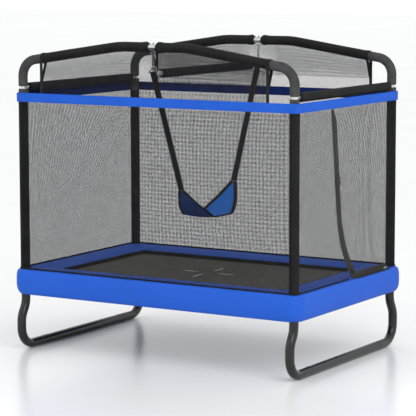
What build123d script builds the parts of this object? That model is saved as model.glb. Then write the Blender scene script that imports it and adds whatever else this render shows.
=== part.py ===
from build123d import *
import os
from math import cos, radians, sin, tan

# A child's rectangular trampoline with sled legs, a padded cover, a net all round, two arches,
# a sling swing on chains and a padded gym bar. Millimetres, +X along the long side, +Y to the
# back, +Z up. The origin is on the ground under the middle.

# ---- driving dimensions ----
post_x = 860.0  # the posts stand at +-post_x, +-post_y
post_y = 563.0
fit = 0.05  # radial clearance of tubes and pins that slide into each other
touch_gap = 0.5  # between soft pieces that only lie beside each other

foot_od = 50.0  # leg and foot tubes
foot_wall = 1.5
leg_wall = 2.0
leg_spread = 43.0  # how far the foot stands outside the post
leg_heel_run = 65.0  # from the heel's bend up to the sideways shift
leg_shift_high = 72.0
leg_shift_radius = 110.0
heel_radius = 100.0
foot_joint_in = 163.0  # from the post line in to the joint of leg and foot tube
foot_neck = 60.0
neck_root = 4.0  # how far a spigot's shoulder reaches back into its tube
neck_play = 2.0  # room at a spigot's end
screw_od = 6.0
screw_hole = 6.4
screw_head = 11.0
screw_head_thick = 3.0
screw_pitch = 24.0
screw_deep = 14.0  # a foot screw's length under the tube's top

rail_od = 38.0  # the frame round the mat
rail_wall = 1.5
rail_z = 421.0
corner_arm = 110.0
corner_drop = 76.0  # from the rails down to the socket's lower end
corner_neck = 50.0
arm_neck = 50.0

post_od = 32.0
post_wall = 1.5
post_top = 1500.0
bush_floor = 3.0
bush_flange = 2.5
post_neck = 50.0

foam_od = 52.0
arch_rise = 215.0  # from the posts' top to the arch's centre line in the middle
arch_crown_half = 220.0
arch_slope = 8.5  # degrees, from the crown down to the elbows
arch_crown_radius = 600.0
elbow_radius = 95.0
arch_joint_in = 220.0  # from the post line in to the joint of elbow and crown
sleeve_wall = 0.8
sleeve_fit = 0.2
sleeve_end_in = 138.0
sleeve_gap_half = 26.0
foam_gap_half = 34.0
sleeve_lap = 6.5  # how far a sleeve covers the seam of elbow foam and crown foam

cross_bar_drop = 25.0  # under the posts' top
cross_bar_od = 25.0
cross_bar_wall = 1.5
cross_foam_od = 50.0
cross_foam_in = 45.0
clamp_height = 14.0
clamp_wall = 3.0
cross_bar_play = 3.0  # from the posts' foam to the cross bars' ends
clamp_plug = 30.0
clamp_lug_width = 12.0
clamp_bolt_od = 10.0
clamp_bolt_head = 4.0

pad_over = 55.0  # how far the cover reaches outside the post line
pad_clear = 1.0  # between the rails and the cover
pad_slab = 16.0
skirt_deep = 140.0
skirt_wall = 10.0
pad_corner = 75.0
pad_shoulder = 14.0
pad_in_x = 152.0  # from the post line in to the opening
pad_in_y = 148.0
pad_opening_corner = 12.0

mat_gap = 125.0  # from the post line to the mat's edge
mat_rise = 4.0  # over the rails' centre line
mat_thick = 3.0
mat_corner = 30.0
mat_tape = 40.0
mat_tape_thick = 1.5
ring_wire = 3.5
ring_reach = 18.0
ring_width = 30.0
ring_bend = 5.0
spring_rise = 8.0
spring_od = 14.0
spring_wire = 3.0
spring_coil = 70.0
spring_hole = 5.0
spring_pitch = 120.0
spring_clear = 15.0  # between a row's end and the frame's joint
hook_bend = 2.0
hook_drop = 6.0

band_under = 28.0  # from the cross bars down to the band
band_wide = 50.0
band_thick = 1.8
band_corner = 9.0
net_thick = 1.5
net_lap = 1.0  # how far the lower nets lie inside the foams' outermost line
pocket_wall = 0.9
net_merge_rise = 35.0  # from the cross bars to where an upper net's two layers meet
net_inner_top = 15.0  # how far below the crown the inner layer reaches the sleeve's far side
notch_half = 80.0  # opening in the inner layer for the chains
notch_rise = 65.0

zip_top_y = -186.0
zip_bend_y = -92.0
zip_bend_rise = 183.0  # over the cover
zip_corner_y = 75.0
zip_end_in = 93.0
zip_bend_radius = 600.0
zip_corner_radius = 60.0
zip_above_pad = 9.0
zip_tape = 27.0
tape_thick = 1.0
door_gap = 1.0
clip_rise = 550.0
slider_wide = 13.0
slider_long = 26.0
slider_thick = 2.6
slider_corner = 4.0
pull_long = 34.0
pull_wide = 10.0
pull_thick = 1.8
clip_long = 36.0
clip_wide = 46.0
clip_thick = 4.4
clip_corner = 4.0
prong_long = 18.0
prong_wide = 6.0
prong_thick = 3.6
prong_step = 11.0
layer_gap = 0.2  # between the zipper's tapes and what rides on them

pin_od = 8.0
axis_drop = 13.0  # from the arch tube's underside to the eye bolts' hole
eye_od = 22.0
eye_thick = 8.0
bolt_od = 8.0
bolt_over = 9.0  # the eye bolt's end over the arch tube
nut_radius = 6.5
chain_wire = 5.0
chain_play = 0.3
link_length = 19.0  # between the wire centres at a link's two ends
link_radius = 6.5
shackle_radius = 9.0
shackle_drop = 24.0
boss_od = 12.0
boss_thick = 5.0
pin_head = 3.0
gym_bar_drop = 29.0  # gym bar centre line under the lower pins
gym_bar_od = 25.0
gym_bar_wall = 1.5
gym_foam_od = 50.0
gym_foam_in = 83.0
plate_thick = 4.0
plate_width = 26.0

strap_width = 38.0
strap_thick = 3.0
strap_ring_wire = 5.0
strap_ring_drop = 22.0
strap_ring_half = 30.0
strap_ring_bend = 3.0
strap_ring_apex = 3.0  # the ring's upper corner over the pin
strap_seam_gap = 4.0  # from the strap's end to the seat's tip
seat_tip_y = 281.0
seat_tip_z = 917.0
seat_tip_half = 20.0
seat_half = 107.0
seat_mid_y = 202.0  # between its flat and its tips the seat is cut full
seat_mid_half = 83.0
seat_flat_y = 89.0
seat_low = 745.0
seat_rise = 12.0
seat_bend = 70.0
seat_thick = 3.0
seat_tape = 22.0
seat_tape_thick = 4.0

# ---- sizes that follow ----
sides = {"left": -1, "right": 1}
ends = {"front": -1, "back": 1}
corners = [(s, e) for s in sides.values() for e in ends.values()]
foot_y = post_y + leg_spread
foot_z = foot_od / 2
foot_joint_y = post_y - foot_joint_in
leg_shift_bottom = foot_z + heel_radius + leg_heel_run
leg_shift_top = leg_shift_bottom + leg_shift_high
corner_bore = foot_od - 2 * foot_wall
leg_neck_od = corner_bore - 2 * fit
rail_bore = rail_od - 2 * rail_wall
corner_low = rail_z - corner_drop
corner_high = rail_z + rail_od / 2
bush_low = corner_low + corner_neck + neck_play
post_bore = post_od - 2 * post_wall
mat_x = post_x - mat_gap
mat_y = post_y - mat_gap
mat_z = rail_z + mat_rise
spring_z = rail_z + spring_rise
pad_length = 2 * (post_x + pad_over)
pad_width = 2 * (post_y + pad_over)
pad_top = corner_high + pad_clear + pad_slab
pad_opening_x = post_x - pad_in_x
pad_opening_y = post_y - pad_in_y
skirt_low = pad_top - skirt_deep
cross_bar_z = post_top - cross_bar_drop
cross_foam_end = post_y - cross_foam_in
clamp_low = cross_bar_z - clamp_height / 2
clamp_high = cross_bar_z + clamp_height / 2
clamp_lug = foam_od / 2 + cross_bar_play - post_od / 2 - clamp_wall
slope = tan(radians(arch_slope))
arch_crown_z = post_top + arch_rise
shoulder_z = arch_crown_z - (post_x - arch_crown_half) * slope
arch_joint_x = post_x - arch_joint_in
sleeve_od = foam_od + 2 * sleeve_fit + 2 * sleeve_wall
sleeve_end_x = post_x - sleeve_end_in
foam_seam_x = sleeve_end_x - sleeve_lap
pocket_od = foam_od + 2 * pocket_wall
band_high = cross_bar_z - band_under
band_low = band_high - band_wide
net_offset = foam_od / 2 - net_lap
net_out = net_offset + net_thick
net_merge_z = cross_bar_z + net_merge_rise
notch_low = net_merge_z + notch_rise
zip_z = pad_top + zip_above_pad
zip_bend_z = pad_top + zip_bend_rise
zip_end_y = post_y - zip_end_in
zip_top_z = band_low - 3 * touch_gap
clip_z = pad_top + clip_rise
tape_x = post_x + net_out + layer_gap / 2
hanger_axis_z = arch_crown_z - post_od / 2 - axis_drop
swing_axis_z = hanger_axis_z - 2 * shackle_drop - 3 * link_length + 4 * (chain_wire + chain_play)
gym_bar_z = swing_axis_z - gym_bar_drop
gym_foam_end = post_y - gym_foam_in
shackle_half = shackle_radius + boss_thick / 2
plate_y = shackle_half + 3 * touch_gap

os.makedirs("parts", exist_ok=True)


def write(name, shape):
    """Export one node. A list becomes one node of separate solids."""
    if isinstance(shape, (list, tuple)):
        shape = Compound(children=list(shape))
    export_step(shape, f"parts/{name}.step")


def line_through(points, radii=None):
    """A path of straight runs, rounded at its inner points."""
    if radii is None:
        return Polyline(*points)
    return FilletPolyline(*points, radius=radii)


def tube(path, outer, bore=0.0):
    """A round tube, or a rod if it has no bore, along a path."""
    start = Plane(origin=path @ 0, z_dir=path % 0)
    solid = sweep(start * Circle(outer / 2), path=path)
    if bore:
        solid -= sweep(start * Circle(bore / 2), path=path)
    return solid


def straight(a, b, outer, bore=0.0):
    """A straight tube or rod between two points."""
    run = Vector(*b) - Vector(*a)
    section = Circle(outer / 2)
    if bore:
        section -= Circle(bore / 2)
    return extrude(Plane(origin=a, z_dir=run) * section, run.length)


def spigot(at, direction, tube_od, neck_od, neck_bore, length):
    """The reduced end of a tube: a shoulder inside it and a neck that stands out of it."""
    at = Vector(*at)
    direction = Vector(*direction).normalized()
    back = at - direction * neck_root
    shoulder = straight(back, at, tube_od - touch_gap, neck_bore)
    neck = straight(back, at + direction * length, neck_od, neck_bore)
    return shoulder + neck


def arch_z(x):
    """Height of the arch tube's centre line at x, leaving out its rounded bends."""
    return arch_crown_z - max(0.0, abs(x) - arch_crown_half) * slope


def prism(points, plane, thick):
    """A flat plate of a closed outline on a plane."""
    return extrude(plane * make_face(Polyline(*points, close=True)), thick)


# ---- legs and frame ----
def leg_bend(s, e):
    x = s * post_x
    path = line_through(
        [
            (x, e * post_y, corner_low),
            (x, e * post_y, leg_shift_top),
            (x, e * foot_y, leg_shift_bottom),
            (x, e * foot_y, foot_z),
            (x, e * foot_joint_y, foot_z),
        ],
        [leg_shift_radius, leg_shift_radius, heel_radius],
    )
    bend = tube(path, foot_od, foot_od - 2 * leg_wall)
    neck_bore = leg_neck_od - 2 * leg_wall
    top = spigot((x, e * post_y, corner_low), (0, 0, 1), foot_od, leg_neck_od, neck_bore, corner_neck)
    end = spigot((x, e * foot_joint_y, foot_z), (0, -e, 0), foot_od, leg_neck_od, neck_bore, foot_neck)
    for y in screw_ys(e):
        end -= straight((x, y, foot_z), (x, y, foot_od), screw_hole)
    return bend + top + end


def screw_ys(e):
    """Places of the two screws in the joint between a foot tube and a leg bend."""
    return [e * (foot_joint_y - foot_neck / 2 + step) for step in (-screw_pitch / 2, screw_pitch / 2)]


def foot_tube(s):
    x = s * post_x
    low = (x, -foot_joint_y, foot_z)
    high = (x, foot_joint_y, foot_z)
    body = straight(low, high, foot_od, corner_bore)
    for e in ends.values():
        for y in screw_ys(e):
            body -= straight((x, y, foot_z), (x, y, foot_od), screw_hole)
    return body


def foot_screws():
    made = []
    for s, e in corners:
        for y in screw_ys(e):
            x = s * post_x
            shank = straight((x, y, foot_od - screw_deep), (x, y, foot_od + screw_head_thick), screw_od)
            head = straight((x, y, foot_od), (x, y, foot_od + screw_head_thick), screw_head)
            made.append(shank + head)
    return made


def frame_corner(s, e):
    x, y = s * post_x, e * post_y
    arms = straight((x, y, rail_z), (x - s * corner_arm, y, rail_z), rail_od, rail_bore)
    arms += straight((x, y, rail_z), (x, y - e * corner_arm, rail_z), rail_od, rail_bore)
    arms -= straight((x, y, corner_low), (x, y, corner_high), corner_bore)
    neck_od = rail_bore - 2 * fit
    neck_bore = neck_od - 2 * rail_wall
    arms += spigot((x - s * corner_arm, y, rail_z), (-s, 0, 0), rail_od, neck_od, neck_bore, arm_neck)
    arms += spigot((x, y - e * corner_arm, rail_z), (0, -e, 0), rail_od, neck_od, neck_bore, arm_neck)
    socket = straight((x, y, corner_low), (x, y, corner_high), foot_od, corner_bore)
    return socket + arms


def post_bush(s, e):
    """Plastic reducer between the corner's socket and the post."""
    x, y = s * post_x, e * post_y
    body = straight((x, y, bush_low), (x, y, corner_high), leg_neck_od, post_od + 2 * fit)
    body += straight((x, y, corner_high), (x, y, corner_high + bush_flange), foot_od, post_od + 2 * fit)
    body += straight((x, y, bush_low), (x, y, bush_low + bush_floor), leg_neck_od, post_bore)
    return body


def post(s, e):
    x, y = s * post_x, e * post_y
    return straight((x, y, bush_low + bush_floor), (x, y, post_top), post_od, post_bore)


def post_foam(s, e):
    x, y = s * post_x, e * post_y
    low = corner_high + bush_flange + touch_gap
    return straight((x, y, low), (x, y, clamp_low), foam_od, post_od)


def pole_pocket(s, e):
    """The fabric sleeve of the net round a post's foam."""
    x, y = s * post_x, e * post_y
    return straight((x, y, pad_top + 2 * touch_gap), (x, y, band_low - 2 * touch_gap), pocket_od, foam_od)


def spring_places(half):
    """Places of a row's springs, spread evenly and clear of the frame corners."""
    reach = half - corner_arm - arm_neck - spring_clear
    count = max(2, round(2 * reach / spring_pitch) + 1)
    return [-reach + 2 * reach * i / (count - 1) for i in range(count)]


def frame_rail(along_x, e):
    """One side of the frame, with a hole for each spring in its inner wall."""
    half = (post_x if along_x else post_y) - corner_arm
    across = e * (post_y if along_x else post_x)
    turn = Plane.XY if along_x else Plane.XY.rotated((0, 0, 90))
    body = straight((-half, 0, rail_z), (half, 0, rail_z), rail_od, rail_bore)
    inward = -e if along_x else e
    places = spring_places(post_x if along_x else post_y)
    holes = [straight((p, 0, spring_z), (p, inward * rail_od, spring_z), spring_hole) for p in places]
    body -= holes
    shift = Pos(0, across, 0) if along_x else Pos(across, 0, 0)
    return shift * (turn.location * body)


def rail_screws():
    """One screw from below through each joint of the frame."""
    made = []
    for s, e in corners:
        middle = corner_arm + arm_neck / 2
        low = rail_z - rail_od / 2
        for dx, dy in [(-s * middle, 0), (0, -e * middle)]:
            x, y = s * post_x + dx, e * post_y + dy
            made.append(straight((x, y, low - screw_head_thick), (x, y, low), screw_head))
    return made


# ---- arches ----
def crown_path(x0, x1):
    """The arch's centre line between two places on its sloping runs or its flat crown."""
    points = [(x0, 0, arch_z(x0))]
    points += [(x, 0, arch_crown_z) for x in (-arch_crown_half, arch_crown_half) if x0 < x < x1]
    points.append((x1, 0, arch_z(x1)))
    if len(points) == 2:
        return line_through(points)
    return line_through(points, [arch_crown_radius] * (len(points) - 2))


def elbow_path(low, x_end):
    points = [(post_x, 0, low), (post_x, 0, shoulder_z), (x_end, 0, arch_z(x_end))]
    return line_through(points, [elbow_radius])


def on_arch(shape, s, e):
    """Place a shape made on the right of the arch plane on side s of arch e."""
    if s < 0:
        shape = mirror(shape, Plane.YZ)
    return Pos(0, e * post_y, 0) * shape


def arch_elbow():
    body = tube(elbow_path(post_top, arch_joint_x), post_od, post_bore)
    neck_od = post_bore - 2 * fit
    neck_bore = neck_od - 2 * post_wall
    up = (-cos(radians(arch_slope)), 0, sin(radians(arch_slope)))
    body += spigot((post_x, 0, post_top), (0, 0, -1), post_od, neck_od, neck_bore, post_neck)
    body += spigot((arch_joint_x, 0, arch_z(arch_joint_x)), up, post_od, neck_od, neck_bore, post_neck)
    return body


def arch_crown(e):
    body = tube(crown_path(-arch_joint_x, arch_joint_x), post_od, post_bore)
    body -= straight((0, 0, arch_crown_z - post_od), (0, 0, arch_crown_z + post_od), bolt_od + 4 * fit)
    return Pos(0, e * post_y, 0) * body


def elbow_foam():
    return tube(elbow_path(clamp_high, foam_seam_x + touch_gap), foam_od, post_od)


def crown_foam():
    return tube(crown_path(foam_gap_half, foam_seam_x - touch_gap), foam_od, post_od)


def arch_sleeve():
    path = crown_path(sleeve_gap_half, sleeve_end_x)
    return tube(path, sleeve_od, sleeve_od - 2 * sleeve_wall)


# ---- cross bars over the short sides ----
def cross_bar(s):
    end = post_y - post_od / 2 - clamp_wall - clamp_lug
    x = s * post_x
    bore = cross_bar_od - 2 * cross_bar_wall
    return straight((x, -end, cross_bar_z), (x, end, cross_bar_z), cross_bar_od, bore)


def bar_clamp(s, e):
    """A ring round the post with a lug and a plug for the cross bar's end."""
    x, y = s * post_x, e * post_y
    ring_od = post_od + 2 * clamp_wall
    face = y - e * (ring_od / 2 + clamp_lug)
    lug_long = clamp_lug + clamp_wall
    lug = Pos(x, face + e * lug_long / 2, cross_bar_z) * Box(clamp_lug_width, lug_long, clamp_height)
    plug_od = cross_bar_od - 2 * cross_bar_wall - 2 * fit
    root, tip = face + e * clamp_wall, face - e * clamp_plug
    plug = straight((x, root, cross_bar_z), (x, tip, cross_bar_z), plug_od)
    body = straight((x, y, clamp_low), (x, y, clamp_high), ring_od) + lug + plug
    return body - straight((x, y, clamp_low), (x, y, clamp_high), post_od)


def clamp_bolt(s, e):
    """Head of the bolt that draws the clamp tight on the post, on the clamp's outer side."""
    x, y = s * post_x, e * (post_y + post_od / 2 + clamp_wall)
    return straight((x, y, cross_bar_z), (x, y + e * clamp_bolt_head, cross_bar_z), clamp_bolt_od)


def cross_foam(s):
    low = (s * post_x, -cross_foam_end, cross_bar_z)
    high = (s * post_x, cross_foam_end, cross_bar_z)
    return straight(low, high, cross_foam_od, cross_bar_od)


# ---- cover, mat and springs ----
def pad_cover():
    outer = extrude(RectangleRounded(pad_length, pad_width, pad_corner), pad_top - skirt_low)
    outer = fillet(outer.edges().group_by(Axis.Z)[-1], pad_shoulder)
    inner = extrude(
        RectangleRounded(pad_length - 2 * skirt_wall, pad_width - 2 * skirt_wall, pad_corner - skirt_wall),
        pad_top - skirt_low - pad_slab,
    )
    body = outer - inner
    body -= extrude(RectangleRounded(2 * pad_opening_x, 2 * pad_opening_y, pad_opening_corner), pad_top)
    body = Pos(0, 0, skirt_low) * body
    for s, e in corners:
        x, y = s * post_x, e * post_y
        body -= straight((x, y, skirt_low), (x, y, pad_top + 1), pocket_od + 4 * touch_gap)
        flange_high = corner_high + bush_flange + touch_gap
        body -= straight((x, y, skirt_low), (x, y, flange_high), foot_od + 2 * touch_gap)
    return body


def mat():
    outline = RectangleRounded(2 * mat_x, 2 * mat_y, mat_corner)
    return Pos(0, 0, mat_z - mat_thick / 2) * extrude(outline, mat_thick)


def mat_edge_tape():
    outer = RectangleRounded(2 * mat_x, 2 * mat_y, mat_corner)
    inner = RectangleRounded(2 * (mat_x - mat_tape), 2 * (mat_y - mat_tape), mat_corner)
    return Pos(0, 0, mat_z - mat_thick / 2 - mat_tape_thick) * extrude(outer - inner, mat_tape_thick)


def in_rows(piece_front, piece_side):
    """A row piece along each side: front, back, left and right, made once and turned."""
    rows = {}
    for name, e in ends.items():
        places = spring_places(post_x)
        rows[name] = [Pos(p, e * mat_y, 0) * (Rot(0, 0, 0 if e > 0 else 180) * piece_front) for p in places]
    for name, s in sides.items():
        places = spring_places(post_y)
        rows[name] = [Pos(s * mat_x, p, 0) * (Rot(0, 0, -90 if s > 0 else 90) * piece_side) for p in places]
    return rows


def mat_ring():
    """A wire ring that stands out of the mat's edge, made for an edge along X facing +Y."""
    half = ring_width / 2
    path = line_through(
        [(-half, 0, mat_z), (-half, ring_reach, mat_z), (half, ring_reach, mat_z), (half, 0, mat_z)],
        [ring_bend, ring_bend],
    )
    return tube(path, ring_wire)


def spring():
    """A coil as a plain cylinder with its two hooks, from a mat ring to the rail, along +Y."""
    span = mat_gap
    tip_in = ring_reach / 2
    tip_out = span - 4.0
    coil_start = (ring_reach + span - rail_od / 2 - spring_coil) / 2
    coil_end = coil_start + spring_coil
    body = straight((0, coil_start, spring_z), (0, coil_end, spring_z), spring_od)
    for root, tip, low in [(coil_start + 1, tip_in, mat_z), (coil_end - 1, tip_out, rail_z + 2)]:
        hook = [(0, root, spring_z), (0, tip, spring_z), (0, tip, low - hook_drop)]
        body += tube(line_through(hook, [hook_bend]), spring_wire)
    return body


# ---- nets ----
def net_long(e):
    half = post_x - pocket_od / 2
    low, high = pad_top + touch_gap, band_low - touch_gap
    y = e * (post_y + net_offset + net_thick / 2)
    return Pos(0, y, (low + high) / 2) * Box(2 * half, net_thick, high - low)


def net_short(s):
    half = post_y - pocket_od / 2
    low, high = pad_top + touch_gap, band_low - touch_gap
    x = s * (post_x + net_offset + net_thick / 2)
    return Pos(x, 0, (low + high) / 2) * Box(net_thick, 2 * half, high - low)


def zip_line(shift=0.0):
    """The zipper's line on the right net, in Y and Z, moved to its left by shift."""
    a = Vector(zip_top_y, zip_top_z)
    b = Vector(zip_bend_y, zip_bend_z)
    c = Vector(zip_corner_y, zip_z)
    d = Vector(zip_end_y, zip_z)

    def side(p, q):
        run = (q - p).normalized()
        return Vector(-run.Y, run.X) * shift

    def corner(p, q, r):
        """Where the two moved runs meet at q."""
        m, n = side(p, q), side(q, r)
        return q + (m + n) * (shift * shift / (shift * shift + m.dot(n))) if shift else q

    return [a + side(a, b), corner(a, b, c), corner(b, c, d), d + side(c, d)]


def zip_path(shift=0.0):
    """The zipper's rounded line: its arcs keep their centres when it is moved."""
    radii = [zip_bend_radius - shift, zip_corner_radius - shift]
    return FilletPolyline(*[(p.X, p.Y) for p in zip_line(shift)], radius=radii)


def strip(near, far):
    """Flat face between two lines beside the zipper."""
    one, two = zip_path(near), zip_path(far)
    return make_face([*one.edges(), Line(one @ 1, two @ 1), *two.edges(), Line(two @ 0, one @ 0)])


def door_face(shrink):
    """The door's outline: the zipper's line and the straight fold, each moved inward by shrink."""
    edge = zip_path(shrink)
    face = make_face([*edge.edges(), Line(edge @ 1, edge @ 0)])
    return face & beyond_fold(shrink)


def beyond_fold(shrink):
    """A large face on the door's side of the fold line, shrink away from it."""
    a, d = zip_line()[0], zip_line()[-1]
    run = (d - a).normalized()
    out = Vector(run.Y, -run.X)
    if out.Y > 0:
        out = out * -1
    near = out * shrink
    far = out * post_x
    low, high = a - run * post_y, d + run * post_y
    outline = [low + near, high + near, high + far, low + far]
    return make_face(Polyline(*[(p.X, p.Y) for p in outline], close=True))


def side_plane(x):
    return Plane(origin=(x, 0, 0), x_dir=(0, 1, 0), z_dir=(1, 0, 0))


def net_right():
    body = net_short(1)
    hole = make_face([*zip_path().edges(), Line(zip_path() @ 1, zip_path() @ 0)])
    return body - extrude(side_plane(post_x + net_offset - 1) * hole, net_thick + 2)


def door_net():
    return extrude(side_plane(post_x + net_offset) * door_face(door_gap), net_thick)


def zipper_tape_net():
    face = strip(-zip_tape, -door_gap / 2)
    low = pad_top + touch_gap
    keep = Pos(0, (low + zip_top_z) / 2) * Rectangle(3 * post_y, zip_top_z - low)
    return extrude(side_plane(tape_x) * (face & keep), tape_thick - layer_gap)


def zipper_tape_door():
    face = strip(door_gap / 2, zip_tape)
    return extrude(side_plane(tape_x) * (face & beyond_fold(2 * door_gap)), tape_thick)


def zip_frame(y, z, run_y, run_z):
    """A place on the zipper with its X axis along the zipper and its Z axis outward."""
    return Plane(origin=(tape_x + tape_thick, y, z), x_dir=(0, run_y, run_z), z_dir=(1, 0, 0))


def slider(place):
    """Front plate, bridge and ring pull of a zipper slider."""
    plate = Box(slider_long, slider_wide, slider_thick)
    plate = Pos(0, 0, layer_gap + slider_thick / 2) * fillet(plate.edges().filter_by(Axis.Z), slider_corner)
    top = layer_gap + slider_thick
    bridge_high = 2 * pull_thick
    bridge = Pos(-slider_long / 4, 0, top + bridge_high / 2) * Box(prong_wide, pull_wide / 2, bridge_high)
    pull = Box(pull_long, pull_wide, pull_thick)
    pull -= Pos(pull_long / 6, 0, 0) * Box(pull_long / 2, pull_wide / 2, 2 * pull_thick)
    return place.location * (plate + bridge + Pos(pull_long / 3, 0, top + bridge_high * 0.7) * pull)


def upper_slider_run():
    """The straight stretch of the zipper over its corner: where it starts and its direction."""
    a, b = Vector(zip_corner_y, zip_z), Vector(zip_bend_y, zip_bend_z)
    run = (b - a).normalized()
    return a + run * (zip_corner_radius * 0.75), run


def zipper_clip():
    """Snap clip over the zipper: a body on the door's tape with two prongs."""
    frac = (clip_z - zip_top_z) / (zip_bend_z - zip_top_z)
    y = zip_top_y + (zip_bend_y - zip_top_y) * frac
    run = Vector(zip_bend_y - zip_top_y, zip_bend_z - zip_top_z).normalized()
    place = zip_frame(y, clip_z, run.X, run.Y)
    body = fillet(Box(clip_long, clip_wide, clip_thick).edges().filter_by(Axis.Z), clip_corner)
    body = Pos(0, 0, clip_thick / 2) * body
    reach = (clip_wide + prong_long) / 2 - prong_wide / 3
    for step in (-prong_step, prong_step):
        body += Pos(step, reach, clip_thick / 2) * Box(prong_wide, prong_long, prong_thick)
    return place.location * body


def top_band():
    near = net_out + layer_gap / 2
    far = near + band_thick
    outer = RectangleRounded(2 * (post_x + far), 2 * (post_y + far), band_corner)
    inner = RectangleRounded(2 * (post_x + near), 2 * (post_y + near), band_corner - band_thick)
    return Pos(0, 0, band_low) * extrude(outer - inner, band_high - band_low)


def upper_net(e):
    """Both layers of a net over one arch: upright outside, slanting inside, joined near the band."""
    out, near = net_out, net_offset
    low = band_high + touch_gap
    top = arch_crown_z
    outer_layer = [(out, low), (near, low), (near, top), (out, top)]
    lean = 2 * near / (top - net_inner_top - net_merge_z)
    inner_top = near - lean * (top - net_merge_z)
    inner_layer = [
        (near + layer_gap, net_merge_z),
        (near + layer_gap, net_merge_z - net_thick / lean),
        (inner_top - net_thick, top),
        (inner_top, top),
    ]
    side = Plane(origin=(-sleeve_end_x, 0, 0), x_dir=(0, 1, 0), z_dir=(1, 0, 0))
    body = prism(outer_layer, side, 2 * sleeve_end_x) + prism(inner_layer, side, 2 * sleeve_end_x)
    x, end_z = sleeve_end_x, arch_z(sleeve_end_x)
    roof = [(x, end_z), (arch_crown_half, top), (-arch_crown_half, top), (-x, end_z)]
    under = [(-x, low - 1), (x, low - 1), *roof]
    front = Plane(origin=(0, foam_od, 0), x_dir=(1, 0, 0), z_dir=(0, -1, 0))
    body &= prism(under, front, 2 * foam_od)
    body -= tube(crown_path(-foam_od - x, foam_od + x), sleeve_od + 2 * touch_gap)
    notch = Box(2 * notch_half, foam_od + near, foam_od + top - notch_low)
    body -= Pos(0, (near - foam_od) / 2 - 2 * net_thick, (foam_od + top + notch_low) / 2) * notch
    body = mirror(body, Plane.XZ) if e < 0 else body
    return Pos(0, e * post_y, 0) * body


# ---- swing ----
def eye_bolt(e):
    """Bolt down through the arch crown, with a nut on top and an eye below."""
    y = e * post_y
    nut_low = arch_crown_z + post_od / 2
    eye = straight((0, y - eye_thick / 2, hanger_axis_z), (0, y + eye_thick / 2, hanger_axis_z), eye_od)
    shank = straight((0, y, hanger_axis_z + bolt_od), (0, y, nut_low + bolt_over), bolt_od)
    body = eye + shank
    body -= straight((0, y - eye_thick, hanger_axis_z), (0, y + eye_thick, hanger_axis_z), pin_od + 2 * fit)
    nut = Plane(origin=(0, y, nut_low + layer_gap)) * RegularPolygon(nut_radius, 6)
    return body + extrude(nut, nut_radius)


def shackle(pin_z, up, e):
    """A bow in the YZ plane with two bosses; its window is above the pin if up is 1."""
    r = shackle_radius
    tip = pin_z + up * shackle_drop
    y = e * post_y
    start = pin_z + up * (boss_od / 2 - 1.0)
    bow = Line((0, y - r, start), (0, y - r, tip - up * r))
    bow += ThreePointArc((0, y - r, tip - up * r), (0, y, tip), (0, y + r, tip - up * r))
    bow += Line((0, y + r, tip - up * r), (0, y + r, start))
    body = tube(Wire(bow.edges()), chain_wire)
    for side in (-1, 1):
        at = y + side * r
        boss = straight((0, at - boss_thick / 2, pin_z), (0, at + boss_thick / 2, pin_z), boss_od)
        body += boss
    return body - straight((0, y - 2 * r, pin_z), (0, y + 2 * r, pin_z), pin_od)


def pin(pin_z, e, inward):
    """A shackle's pin with two heads; inward is how far it reaches to the middle."""
    y = e * post_y
    outer, inner = y + e * shackle_half, y - e * inward
    body = straight((0, outer, pin_z), (0, inner, pin_z), pin_od)
    body += straight((0, outer, pin_z), (0, outer + e * pin_head, pin_z), boss_od)
    return body + straight((0, inner, pin_z), (0, inner - e * pin_head, pin_z), boss_od)


def chain_link(top_z, across_x):
    """A chain link with its upper wire centre at top_z, in the XZ plane or the YZ plane."""
    r, low = link_radius, top_z - link_length
    line = Line((r, 0, top_z - r), (r, 0, low + r))
    line += ThreePointArc((r, 0, low + r), (0, 0, low), (-r, 0, low + r))
    line += Line((-r, 0, low + r), (-r, 0, top_z - r))
    line += ThreePointArc((-r, 0, top_z - r), (0, 0, top_z), (r, 0, top_z - r))
    body = tube(Wire(line.edges()), chain_wire)
    return body if across_x else Rot(0, 0, 90) * body


def chain():
    """Three links between the upper and the lower shackle."""
    hook = chain_wire + chain_play
    top = hanger_axis_z - shackle_drop + hook
    return [chain_link(top - i * (link_length - hook), i % 2 == 0) for i in range(3)]


def gym_bar():
    """Tube with a flat end plate at each end that hangs on the lower pins."""
    end = post_y - plate_y - plate_thick
    body = straight((0, -end, gym_bar_z), (0, end, gym_bar_z), gym_bar_od, gym_bar_od - 2 * gym_bar_wall)
    middle = (swing_axis_z + gym_bar_z) / 2
    for e in ends.values():
        face = Pos(0, middle) * SlotOverall(gym_bar_drop + plate_width, plate_width, 90)
        face -= Pos(0, swing_axis_z) * Circle(pin_od / 2)
        at = Plane(origin=(0, e * end, 0), x_dir=(1, 0, 0), z_dir=(0, -1, 0))
        plate = extrude(at * face, plate_thick if e < 0 else -plate_thick)
        body += plate
    return body


def gym_foam():
    low, high = (0, -gym_foam_end, gym_bar_z), (0, gym_foam_end, gym_bar_z)
    return straight(low, high, gym_foam_od, gym_bar_od)


def strap_ring(e):
    """Triangular ring: an eyelet on the lower pin and a bar for the strap."""
    half, low = strap_ring_half, swing_axis_z - strap_ring_drop
    apex = (0, 0, swing_axis_z + strap_ring_apex)
    loop = FilletPolyline(apex, (half, 0, low), (-half, 0, low), radius=strap_ring_bend, close=True)
    at = Plane(origin=loop @ 0, z_dir=loop % 0)
    body = sweep(at * Circle(strap_ring_wire / 2), path=loop)
    wide = shackle_radius - boss_thick / 2 - 2 * touch_gap
    body += straight((0, -wide, swing_axis_z), (0, wide, swing_axis_z), 2 * pin_od)
    body -= straight((0, -2 * wide, swing_axis_z), (0, 2 * wide, swing_axis_z), pin_od + 2 * fit)
    return Pos(0, e * post_y, 0) * body


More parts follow.
